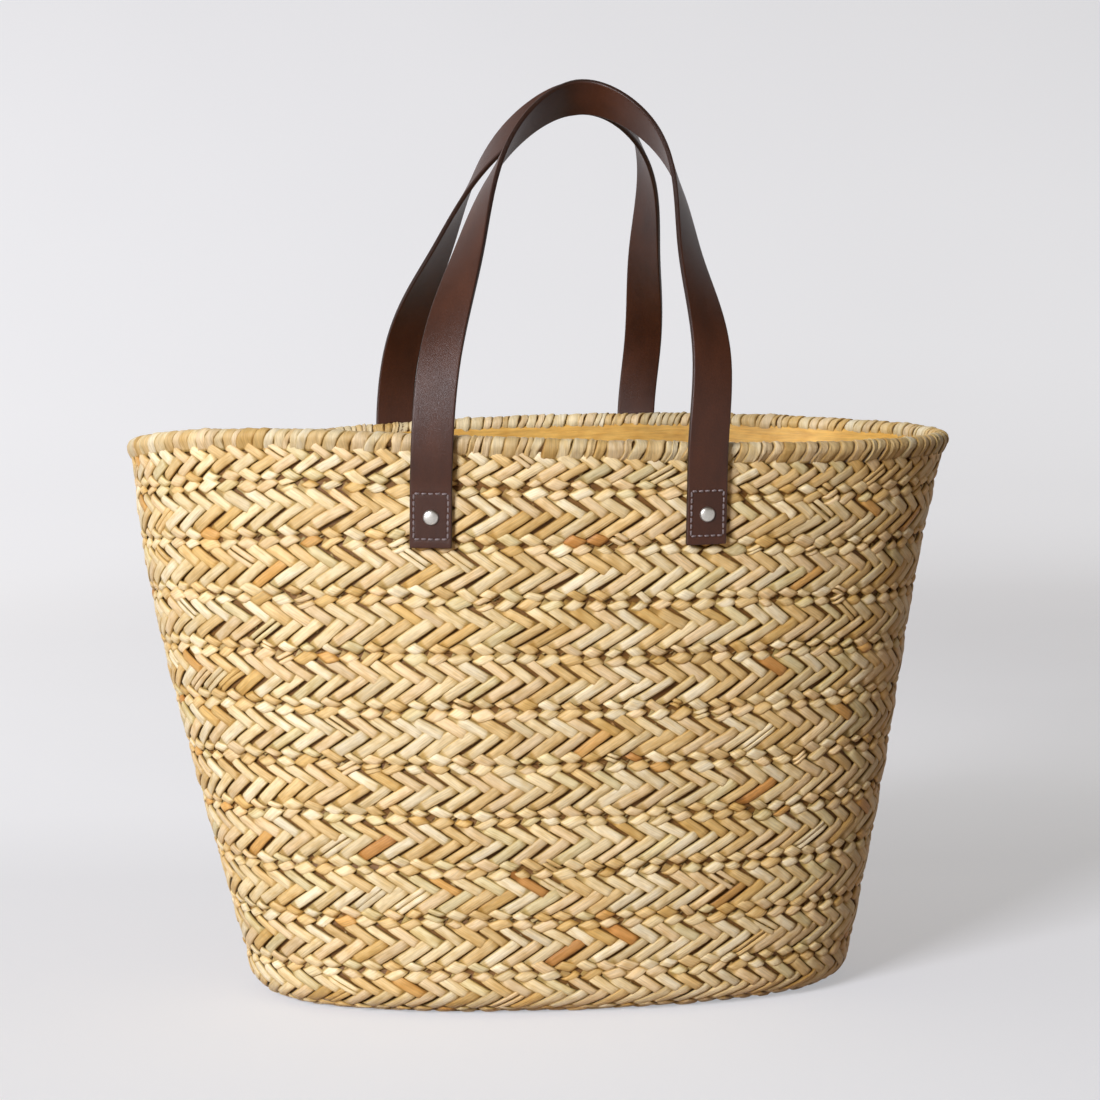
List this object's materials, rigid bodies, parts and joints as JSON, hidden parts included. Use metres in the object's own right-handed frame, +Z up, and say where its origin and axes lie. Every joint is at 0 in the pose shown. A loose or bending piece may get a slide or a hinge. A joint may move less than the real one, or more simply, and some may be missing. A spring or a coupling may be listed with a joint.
{
  "type": "woven market basket",
  "caption": "Oval flared basket of coiled herringbone straw braid with a straw-wrapped rim and two riveted leather handles.",
  "frame": {"origin": "bottom centre of the overall box, on the surface the basket stands on, under the middle of the rim", "axes": "+X along the basket's width to the right, +Y from its front to its back, +Z up"},
  "size_m": [0.5, 0.274, 0.5527],
  "materials": {
    "straw": "plaited dry straw, matt with a faint sheen",
    "twine": "thin natural twine",
    "leather": "smooth dark brown leather, slightly glossy",
    "thread": "waxed pale thread",
    "rivet": "polished nickel"
  },
  "bodies": {
    "basket": {"base_braid_center": "straw", "base_ring_1": "straw", "base_ring_2": "straw", "heel_course": "straw", "course_01": "straw", "course_02": "straw", "course_03": "straw", "course_04": "straw", "course_05": "straw", "course_06": "straw", "course_07": "straw", "course_08": "straw", "course_09": "straw", "course_10": "straw", "rim_core": "straw", "rim_wrap": "straw", "inner_rim_band": "straw", "sewing_twine": "twine", "strap_end_front_left": "leather", "backing_patch_front_left": "leather", "stitching_front_left": "thread", "rivet_front_left": "rivet", "rivet_cap_front_left": "rivet", "strap_end_front_right": "leather", "backing_patch_front_right": "leather", "stitching_front_right": "thread", "rivet_front_right": "rivet", "rivet_cap_front_right": "rivet", "strap_end_back_left": "leather", "backing_patch_back_left": "leather", "stitching_back_left": "thread", "rivet_back_left": "rivet", "rivet_cap_back_left": "rivet", "strap_end_back_right": "leather", "backing_patch_back_right": "leather", "stitching_back_right": "thread", "rivet_back_right": "rivet", "rivet_cap_back_right": "rivet"},
    "front_handle": {"handle_front": "leather"},
    "back_handle": {"handle_back": "leather"}
  },
  "joints": [
    {"name": "front_handle_fold", "type": "hinge", "parent": "basket", "child": "front_handle", "pos_m": [0, -0.13443, 0.318], "axis": [1, 0, 0], "range_deg": [0, 165]},
    {"name": "back_handle_fold", "type": "hinge", "parent": "basket", "child": "back_handle", "pos_m": [0, 0.13443, 0.318], "axis": [-1, 0, 0], "range_deg": [0, 165]}
  ]
}
